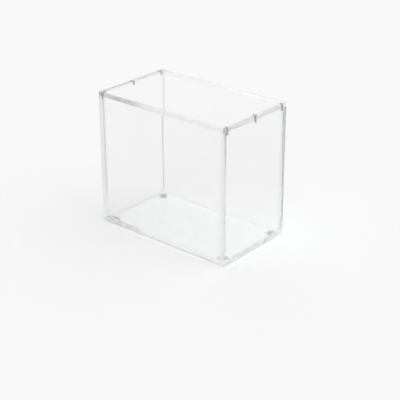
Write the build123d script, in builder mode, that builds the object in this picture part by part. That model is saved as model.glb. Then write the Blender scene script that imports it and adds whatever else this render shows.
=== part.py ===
from build123d import *
import os

# Clear display case for one sealed box of booster packs.
# The case stands on four pads and a loose lid closes it, held by pairs of magnets.
# The origin is the middle of the footprint, on the surface that the pads stand on.
# X runs from left to right, Y from front to back and Z up. Lengths are in millimetres.

os.makedirs("parts", exist_ok=True)

# Outer size of the open case, without its lid and pads
case_width = 154.0
case_depth = 90.0
case_height = 131.0

# Clear sheet that the panels are cut from, and bevel of its polished outer edges
wall_thickness = 5.0
base_thickness = 5.0
lid_thickness = 4.0
edge_bevel = 0.2

# The lid stays this far inside the outer faces of the case
lid_inset = 0.5

# Cylinder magnets, glued into blind pockets in the side walls' rims and under the lid
magnet_diameter = 3.0
magnet_length = 3.0
magnet_bevel = 0.2
magnet_recess = 0.05
magnet_end_distance = 5.0
glue_clearance = 0.05

# Tapered soft pads, stuck under the base near its corners
pad_diameter = 8.0
pad_height = 1.6
pad_draft_angle = 8.0
pad_foot_rounding = 0.8
pad_inset = 10.0

# Levels of the case, from the surface that it stands on
base_bottom = pad_height
rim_level = base_bottom + case_height

# Space between the walls
bay_width = case_width - 2 * wall_thickness
bay_depth = case_depth - 2 * wall_thickness

# Magnet rows: one along the middle of each side wall, with one magnet halfway and one near each end
magnet_row_x = (case_width - wall_thickness) / 2
magnet_step_y = case_depth / 2 - magnet_end_distance
pocket_radius = magnet_diameter / 2 + glue_clearance
pocket_depth = magnet_recess + magnet_length + glue_clearance

sides = {"left": -1, "right": 1}
ends = {"front": -1, "back": 1}
stations = {"front": -1, "middle": 0, "back": 1}


def save(piece, name):
    piece.part.label = name
    export_step(piece.part, f"parts/{name}.step")


# Base panel, held between the four walls and flush with their lower edges
with BuildPart() as base_panel:
    with BuildSketch(Plane.XY.offset(base_bottom)):
        Rectangle(bay_width, bay_depth)
    extrude(amount=base_thickness)
save(base_panel, "base_panel")


# Side panels run the whole depth and carry the magnets of the case in their upper edges
def side_panel(side):
    wall_middle = side * magnet_row_x
    with BuildPart() as panel:
        with BuildSketch(Plane.XY.offset(base_bottom)):
            with Locations((wall_middle, 0)):
                Rectangle(wall_thickness, case_depth)
        extrude(amount=case_height)
        inner_face = panel.faces().sort_by(Axis.X)[0 if side > 0 else -1]
        chamfer(panel.edges() - inner_face.edges(), edge_bevel)
        with BuildSketch(Plane.XY.offset(rim_level)):
            with Locations((wall_middle, 0)):
                with GridLocations(0, magnet_step_y, 1, len(stations)):
                    Circle(pocket_radius)
        extrude(amount=-pocket_depth, mode=Mode.SUBTRACT)
    return panel


for side_name, side in sides.items():
    save(side_panel(side), f"{side_name}_panel")


# Front and back panels fit between the side panels
def end_panel(end):
    outer_y = end * case_depth / 2
    with BuildPart() as panel:
        with BuildSketch(Plane.XY.offset(base_bottom)):
            with Locations((0, outer_y - end * wall_thickness / 2)):
                Rectangle(bay_width, wall_thickness)
        extrude(amount=case_height)
        outer_face = panel.faces().sort_by(Axis.Y)[-1 if end > 0 else 0]
        chamfer(outer_face.edges().filter_by(Axis.X), edge_bevel)
    return panel


for end_name, end in ends.items():
    save(end_panel(end), f"{end_name}_panel")


# Lid: a flat plate a little smaller than the case, with the magnet pockets open downwards
with BuildPart() as lid_panel:
    with BuildSketch(Plane.XY.offset(rim_level)):
        Rectangle(case_width - 2 * lid_inset, case_depth - 2 * lid_inset)
    extrude(amount=lid_thickness)
    chamfer(lid_panel.edges(), edge_bevel)
    with BuildSketch(Plane.XY.offset(rim_level)):
        with GridLocations(2 * magnet_row_x, magnet_step_y, len(sides), len(stations)):
            Circle(pocket_radius)
    extrude(amount=pocket_depth, mode=Mode.SUBTRACT)
save(lid_panel, "lid_panel")


# A magnet stands on its lower face at the given level, in line with the one across the parting plane
def magnet(side, station, bottom):
    with BuildPart() as cylinder:
        with BuildSketch(Plane.XY.offset(bottom)):
            with Locations((side * magnet_row_x, station * magnet_step_y)):
                Circle(magnet_diameter / 2)
        extrude(amount=magnet_length)
        chamfer(cylinder.edges().filter_by(GeomType.CIRCLE), magnet_bevel)
    return cylinder


case_magnet_bottom = rim_level - magnet_recess - magnet_length
lid_magnet_bottom = rim_level + magnet_recess
for side_name, side in sides.items():
    for station_name, station in stations.items():
        place = f"{station_name}_{side_name}"
        save(magnet(side, station, case_magnet_bottom), f"case_magnet_{place}")
        save(magnet(side, station, lid_magnet_bottom), f"lid_magnet_{place}")


# A pad hangs from the underside of the base and narrows towards its rounded foot
def pad(side, end):
    with BuildPart() as bumper:
        with BuildSketch(Plane.XY.offset(base_bottom)):
            with Locations((side * (case_width / 2 - pad_inset), end * (case_depth / 2 - pad_inset))):
                Circle(pad_diameter / 2)
        extrude(amount=-pad_height, taper=pad_draft_angle)
        foot = bumper.faces().sort_by(Axis.Z)[0]
        fillet(foot.edges(), pad_foot_rounding)
    return bumper


for side_name, side in sides.items():
    for end_name, end in ends.items():
        save(pad(side, end), f"pad_{end_name}_{side_name}")
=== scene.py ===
import math

import bmesh
import bpy
from mathutils import Matrix, Vector


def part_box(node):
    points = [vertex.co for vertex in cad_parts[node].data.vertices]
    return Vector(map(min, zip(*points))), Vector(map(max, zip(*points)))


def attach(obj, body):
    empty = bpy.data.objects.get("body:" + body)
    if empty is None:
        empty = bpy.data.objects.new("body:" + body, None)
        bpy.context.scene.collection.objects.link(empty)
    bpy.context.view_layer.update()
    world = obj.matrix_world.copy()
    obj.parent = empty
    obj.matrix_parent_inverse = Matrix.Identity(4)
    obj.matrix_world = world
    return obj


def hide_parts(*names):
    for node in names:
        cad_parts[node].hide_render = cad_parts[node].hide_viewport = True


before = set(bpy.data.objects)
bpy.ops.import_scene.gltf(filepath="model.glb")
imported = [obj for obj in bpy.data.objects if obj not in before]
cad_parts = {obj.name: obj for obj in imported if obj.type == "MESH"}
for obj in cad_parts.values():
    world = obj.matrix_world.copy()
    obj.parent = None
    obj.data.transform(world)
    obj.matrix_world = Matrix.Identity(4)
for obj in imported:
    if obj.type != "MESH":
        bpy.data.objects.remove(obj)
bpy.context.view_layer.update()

# Lengths are in metres, in the frame of the CAD model: X to the right, Y to the back, Z up.
MM = 0.001

# Panels are clear cast sheet. All but the lid are bonded where they touch.
BASE = "base_panel"
BONDED = [BASE, "front_panel", "back_panel", "left_panel", "right_panel"]
LID = "lid_panel"
MAGNETS = sorted(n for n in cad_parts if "_magnet_" in n)
PADS = sorted(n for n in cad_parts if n.startswith("pad_"))

# Two clear faces in one plane can't both be traced, so the undersides of these panels are lifted a trace
SEAT_GAPS = {LID: 0.03 * MM, BASE: 0.02 * MM}

# Points closer than this are in the same place, and a joint is at least this wide and high
SAME_PLACE = 0.001 * MM
LEAST_JOINT = 1.0 * MM
# A pocket's faces are no further than this from the side of its magnet
POCKET_REACH = 0.1 * MM
# A face lies square to an axis where its normal has this share along it
SQUARE = 0.99
# Edges that turn by more than this stay sharp
SHARP_TURN = math.radians(30)

# Kinds of face on a panel, in the order of its materials
SHEET_FACE, CUT_EDGE, BOND = range(3)

ACRYLIC_IOR = 1.49
SILICONE_IOR = 1.41

LIGHT_BOUNCES = 48


class Graph:
    """Short calls for building one material's or world's nodes."""

    def __init__(self, owner):
        owner.use_nodes = True
        self.tree = owner.node_tree
        self.tree.nodes.clear()

    def node(self, kind, settings=None, **inputs):
        made = self.tree.nodes.new(kind)
        for name, value in (settings or {}).items():
            setattr(made, name, value)
        for name, value in inputs.items():
            self.feed(made.inputs[name.replace("_", " ")], value)
        return made

    def feed(self, socket, value):
        if isinstance(value, bpy.types.NodeSocket):
            self.tree.links.new(value, socket)
        else:
            socket.default_value = value

    def math(self, operation, a, b):
        made = self.tree.nodes.new("ShaderNodeMath")
        made.operation = operation
        self.feed(made.inputs[0], a)
        self.feed(made.inputs[1], b)
        return made.outputs[0]

    def place(self):
        return self.node("ShaderNodeTexCoord").outputs["Object"]

    def along(self, direction, repeats):
        """Distance along a direction, as a number of repeats, given as repeats per metre."""
        made = self.node("ShaderNodeVectorMath", {"operation": "DOT_PRODUCT"})
        self.feed(made.inputs[0], self.place())
        made.inputs[1].default_value = Vector(direction) * repeats
        return made.outputs["Value"]

    def stretched(self, scale):
        made = self.node("ShaderNodeMapping", Scale=scale)
        self.feed(made.inputs["Vector"], self.place())
        return made.outputs["Vector"]

    def noise(self, vector, scale, detail=3.0):
        return self.node("ShaderNodeTexNoise", Vector=vector, Scale=scale, Detail=detail).outputs["Fac"]

    def streaks(self, w, detail=3.0):
        return self.node(
            "ShaderNodeTexNoise", {"noise_dimensions": "1D"}, W=w, Scale=1.0, Detail=detail
        ).outputs["Fac"]

    def ramp(self, value, span, result):
        """Takes a value's span to the span of the result, and holds it there."""
        made = self.node("ShaderNodeMapRange", Value=value)
        for name, number in zip(("From Min", "From Max", "To Min", "To Max"), (*span, *result)):
            made.inputs[name].default_value = number
        return made.outputs["Result"]

    def blend(self, factor, a, b):
        made = self.node("ShaderNodeMix", {"data_type": "RGBA"})
        for socket, value in ((made.inputs[0], factor), (made.inputs[6], a), (made.inputs[7], b)):
            self.feed(socket, value)
        return made.outputs[2]

    def mix(self, factor, first, second):
        made = self.tree.nodes.new("ShaderNodeMixShader")
        for socket, value in zip(made.inputs, (factor, first, second)):
            self.feed(socket, value)
        return made.outputs[0]

    def bump(self, height, strength, distance):
        return self.node(
            "ShaderNodeBump", Height=height, Strength=strength, Distance=distance
        ).outputs["Normal"]

    def finish(self, surface, kind="ShaderNodeOutputMaterial"):
        self.feed(self.tree.nodes.new(kind).inputs["Surface"], surface)


def rgb(red, green, blue):
    return (red, green, blue, 1.0)


def warm(level):
    """A pale grey with a trace of yellow, as the cut edges have in the photograph."""
    return rgb(level, level - 0.003, level - 0.008)


def clear_plastic(g, tint, roughness, normal, shadow_tint, ior=ACRYLIC_IOR, clarity=1.0):
    """Solid clear plastic that lets lamps shine through it. What isn't clear of it scatters light."""
    body = g.node(
        "ShaderNodeBsdfPrincipled", Base_Color=tint, Roughness=roughness, IOR=ior,
        Transmission_Weight=clarity, Normal=normal,
    ).outputs[0]
    shade = g.node("ShaderNodeBsdfTransparent", Color=shadow_tint).outputs[0]
    is_shadow = g.node("ShaderNodeLightPath").outputs["Is Shadow Ray"]
    g.finish(g.mix(is_shadow, body, shade))


def sheet_face():
    """Cast face: glass clear, with a trace of waviness and hairline wipe marks."""
    made = bpy.data.materials.new("acrylic_face")
    g = Graph(made)
    cloud = g.noise(g.place(), scale=30.0)
    tint = g.blend(cloud, rgb(0.96, 0.96, 0.96), rgb(0.984, 0.984, 0.983))
    hairs = g.noise(g.stretched((900.0, 700.0, 60.0)), scale=1.0, detail=2.0)
    roughness = g.ramp(hairs, span=(0.66, 0.8), result=(0.0, 0.07))
    waves = g.noise(g.place(), scale=22.0, detail=1.0)
    normal = g.bump(waves, strength=0.25, distance=0.2 * MM)
    clear_plastic(g, tint, roughness, normal, shadow_tint=rgb(0.96, 0.965, 0.965))
    return made


def cut_edge(name, dim, pale, clarity):
    """Cut edge of the sheet, with fine slanting saw lines."""
    made = bpy.data.materials.new(name)
    g = Graph(made)
    lines = g.streaks(g.along((1.0, 0.8, 0.9), repeats=260.0), detail=2.0)
    tint = g.blend(lines, warm(dim), warm(pale))
    roughness = g.ramp(lines, span=(0.3, 0.75), result=(0.36, 0.46))
    normal = g.bump(lines, strength=0.05, distance=0.01 * MM)
    clear_plastic(g, tint, roughness, normal, shadow_tint=rgb(0.90, 0.907, 0.91), clarity=clarity)
    return made


def bond():
    """Bonded joint or magnet glue: clear, with faint clouds and a few trapped bubbles."""
    made = bpy.data.materials.new("acrylic_bond")
    g = Graph(made)
    cloud = g.noise(g.place(), scale=260.0)
    tint = g.blend(cloud, rgb(0.945, 0.95, 0.953), rgb(0.985, 0.987, 0.99))
    cells = g.node("ShaderNodeTexVoronoi", {"feature": "F1"}, Vector=g.place(), Scale=900.0)
    specks = g.ramp(cells.outputs["Distance"], span=(0.10, 0.16), result=(1.0, 0.0))
    patches = g.ramp(g.noise(g.place(), scale=90.0), span=(0.60, 0.72), result=(0.0, 1.0))
    bubbles = g.math("MULTIPLY", g.math("MULTIPLY", specks, patches), 0.5)
    film = g.node(
        "ShaderNodeBsdfPrincipled", Base_Color=rgb(0.80, 0.83, 0.84), Roughness=0.35, IOR=1.45
    ).outputs[0]
    clear = g.node("ShaderNodeBsdfTransparent", Color=tint).outputs[0]
    g.finish(g.mix(bubbles, clear, film))
    return made


def nickel():
    """Nickel-plated magnet: half matt, with turning marks round the axis and darker handling spots."""
    made = bpy.data.materials.new("magnet_nickel")
    g = Graph(made)
    cloud = g.noise(g.place(), scale=700.0)
    marks = g.streaks(g.along((0.0, 0.0, 1.0), repeats=9000.0))
    colour = g.blend(cloud, rgb(0.44, 0.44, 0.45), rgb(0.60, 0.60, 0.61))
    roughness = g.ramp(g.math("ADD", cloud, marks), span=(0.6, 1.4), result=(0.22, 0.42))
    normal = g.bump(g.math("ADD", marks, cloud), strength=0.3, distance=0.01 * MM)
    body = g.node(
        "ShaderNodeBsdfPrincipled", Base_Color=colour, Metallic=1.0, Roughness=roughness, Normal=normal
    ).outputs[0]
    g.finish(body)
    return made


def silicone():
    """Clear soft pad: cloudy, with a dimpled moulded skin."""
    made = bpy.data.materials.new("pad_silicone")
    g = Graph(made)
    cloud = g.noise(g.place(), scale=260.0)
    tint = g.blend(cloud, rgb(0.88, 0.89, 0.89), rgb(0.96, 0.965, 0.96))
    skin = g.noise(g.place(), scale=2600.0, detail=2.0)
    roughness = g.ramp(skin, span=(0.3, 0.7), result=(0.16, 0.34))
    normal = g.bump(skin, strength=0.4, distance=0.03 * MM)
    shadow_tint = rgb(0.88, 0.89, 0.89)
    clear_plastic(g, tint, roughness, normal, shadow_tint, ior=SILICONE_IOR, clarity=0.85)
    return made


def paper():
    """Plain pale floor with a faint grain."""
    made = bpy.data.materials.new("floor_paper")
    g = Graph(made)
    grain = g.noise(g.place(), scale=400.0)
    shade = g.blend(grain, rgb(0.93, 0.93, 0.93), rgb(0.945, 0.945, 0.945))
    g.finish(g.node("ShaderNodeBsdfDiffuse", Color=shade).outputs[0])
    return made


def contact(a, b):
    """The flat patch where the boxes of two nodes touch, as (axis, low corner, high corner), or None."""
    (a_low, a_high), (b_low, b_high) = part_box(a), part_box(b)
    low = Vector(map(max, a_low, b_low))
    high = Vector(map(min, a_high, b_high))
    sizes = high - low
    flat = [i for i in range(3) if abs(sizes[i]) < SAME_PLACE]
    if len(flat) == 1 and all(sizes[i] > LEAST_JOINT for i in range(3) if i != flat[0]):
        return flat[0], low, high
    return None


def in_patch(face, patch):
    axis, low, high = patch
    middle = face.calc_center_median()
    return abs(face.normal[axis]) > SQUARE and all(
        low[i] - SAME_PLACE < middle[i] < high[i] + SAME_PLACE for i in range(3)
    )


def in_plane(face, patch):
    axis, low, _ = patch
    return all(abs(v.co[axis] - low[axis]) < SAME_PLACE for v in face.verts)


def cut_round(mesh, patch):
    """Splits the faces in the patch's plane along the patch's border."""
    axis, low, high = patch
    for i in range(3):
        if i == axis:
            continue
        for level in (low[i], high[i]):
            faces = [f for f in mesh.faces if in_plane(f, patch)]
            edges = {e for f in faces for e in f.edges}
            verts = {v for f in faces for v in f.verts}
            point, normal = Vector((0, 0, 0)), Vector((0, 0, 0))
            point[i], normal[i] = level, 1.0
            bmesh.ops.bisect_plane(
                mesh, geom=[*faces, *edges, *verts], dist=SAME_PLACE, plane_co=point, plane_no=normal
            )


def wets_magnet(face, magnets):
    """True for a face of a magnet's pocket."""
    for low, high in magnets:
        middle, reach = (low + high) / 2, (high.x - low.x) / 2 + POCKET_REACH
        if all((v.co.xy - middle.xy).length < reach for v in face.verts):
            return True
    return False


def face_kind(face, thin, patches, magnets):
    """Tells if a face is bonded, cast or cut, on a panel that is thin along the given axis."""
    if wets_magnet(face, magnets) or any(in_patch(face, p) for p in patches):
        return BOND
    if abs(face.normal[thin]) > SQUARE:
        return SHEET_FACE
    return CUT_EDGE


def panel_mesh(node):
    """The CAD node's mesh, split along its joints' borders, with a material for each kind of face."""
    mesh = bmesh.new()
    mesh.from_mesh(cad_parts[node].data)
    bmesh.ops.remove_doubles(mesh, verts=mesh.verts[:], dist=SAME_PLACE)
    patches = []
    if node in BONDED:
        patches = [p for p in (contact(node, other) for other in BONDED if other != node) if p]
    for patch in patches:
        cut_round(mesh, patch)
    mesh.normal_update()
    low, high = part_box(node)
    sizes = high - low
    thin = min(range(3), key=lambda i: sizes[i])
    magnets = [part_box(n) for n in MAGNETS]
    for face in mesh.faces:
        face.smooth = True
        face.material_index = face_kind(face, thin, patches, magnets)
    for edge in mesh.edges:
        turned = len(edge.link_faces) == 2 and edge.calc_face_angle(0.0) > SHARP_TURN
        edge.smooth = not turned
    for vert in mesh.verts:
        if vert.co.z < low.z + SAME_PLACE:
            vert.co.z += SEAT_GAPS.get(node, 0.0)
    return mesh


def add(name, data):
    made = bpy.data.objects.new(name, data)
    bpy.context.scene.collection.objects.link(made)
    return made


def clear_panel(node, materials, body):
    """A panel with the CAD node's shape, in place of that node."""
    mesh = panel_mesh(node)
    data = bpy.data.meshes.new(node.replace("panel", "sheet"))
    mesh.to_mesh(data)
    mesh.free()
    for material in materials:
        data.materials.append(material)
    made = add(data.name, data)
    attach(made, body)
    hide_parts(node)


def far_softbox(name, place, width, power):
    """A wide soft lamp, far enough away to light the whole floor evenly. Its width is in degrees."""
    lamp = bpy.data.lights.new(name, "SUN")
    lamp.angle = math.radians(width)
    lamp.energy = power
    made = add(name, lamp)
    made.location = place
    made.rotation_euler = Vector(place).to_track_quat("Z", "Y").to_euler()
    made.visible_transmission = False


# Panels: the case's cut edges scatter some light. Those of the lid are clear, in a copy of the same cut edge
# whose darker tint is painted shade
cast, joint = sheet_face(), bond()
case_edge = cut_edge("acrylic_rim", dim=0.93, pale=0.975, clarity=0.55)
# The lid's edges: the same cut edge as the case's, with a lower tint that paints shade on them
lid_edge_shaded = cut_edge("acrylic_lid_edge_shaded", dim=0.86, pale=0.92, clarity=1.0)
for panel in BONDED:
    clear_panel(panel, [cast, case_edge, joint], "case")
clear_panel(LID, [cast, lid_edge_shaded, joint], "lid")

# Magnets and pads keep their CAD meshes
for names, material in ((MAGNETS, nickel()), (PADS, silicone())):
    for name in names:
        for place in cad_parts[name].material_slots:
            place.material = material

# Floor
FLOOR_REACH = 6.0
corners = [(-1, -1), (1, -1), (1, 1), (-1, 1)]
floor_mesh = bpy.data.meshes.new("floor")
floor_mesh.from_pydata([(x * FLOOR_REACH, y * FLOOR_REACH, 0) for x, y in corners], [], [(0, 1, 2, 3)])
floor_mesh.materials.append(paper())
floor = add("floor", floor_mesh)

# Backdrop: white where it is seen, mirrored or looked at through clear sheet, and a softer light elsewhere
BACKDROP_LIGHT = 0.70
BACKDROP_WHITE = 1.0
world = bpy.data.worlds.new("studio")
bpy.context.scene.world = world
g = Graph(world)
path = g.node("ShaderNodeLightPath").outputs
seen = g.math(
    "MAXIMUM", path["Is Camera Ray"], g.math("MAXIMUM", path["Is Glossy Ray"], path["Is Transmission Ray"])
)
light = g.node("ShaderNodeBackground", Color=rgb(1, 1, 1), Strength=BACKDROP_LIGHT).outputs[0]
white = g.node("ShaderNodeBackground", Color=rgb(1, 1, 1), Strength=BACKDROP_WHITE).outputs[0]
g.finish(g.mix(seen, light, white), "ShaderNodeOutputWorld")

far_softbox("key_light", (-0.6, -0.6, 1.2), width=40.0, power=1.0)
far_softbox("fill_light", (0.8, 0.4, 1.1), width=60.0, power=0.2)

# Camera, as fitted to the photograph's edges
CAMERA_PLACE = Vector((0.6319, -0.7333, 0.4774))
LOOK = Vector((-0.5869, 0.6927, -0.4191)).normalized()
UP = Vector((-0.2690, 0.3214, 0.9079))
FOCAL_PIXELS, FRAME_PIXELS, SENSOR = 1096.4, 400.0, 36.0
right = LOOK.cross(UP).normalized()
axes = Matrix((right, right.cross(LOOK), -LOOK)).transposed()
lens = bpy.data.cameras.new("camera")
lens.sensor_width = SENSOR
lens.lens = FOCAL_PIXELS / FRAME_PIXELS * SENSOR
lens.clip_start, lens.clip_end = 0.05, 50.0
camera = add("camera", lens)
camera.matrix_world = Matrix.Translation(CAMERA_PLACE) @ axes.to_4x4()
bpy.context.scene.camera = camera

bpy.context.scene.view_settings.view_transform = "Standard"
# Light goes to and fro between the faces of a sheet, so its paths are long and none is cut short early
cycles = bpy.context.scene.cycles
for limit in (
    "max_bounces", "min_light_bounces", "glossy_bounces", "transmission_bounces", "transparent_max_bounces"
):
    setattr(cycles, limit, LIGHT_BOUNCES)
# Albedo and normals seen through clear sheet are noisier than the picture, so the denoiser goes without them
cycles.denoising_input_passes = "RGB"
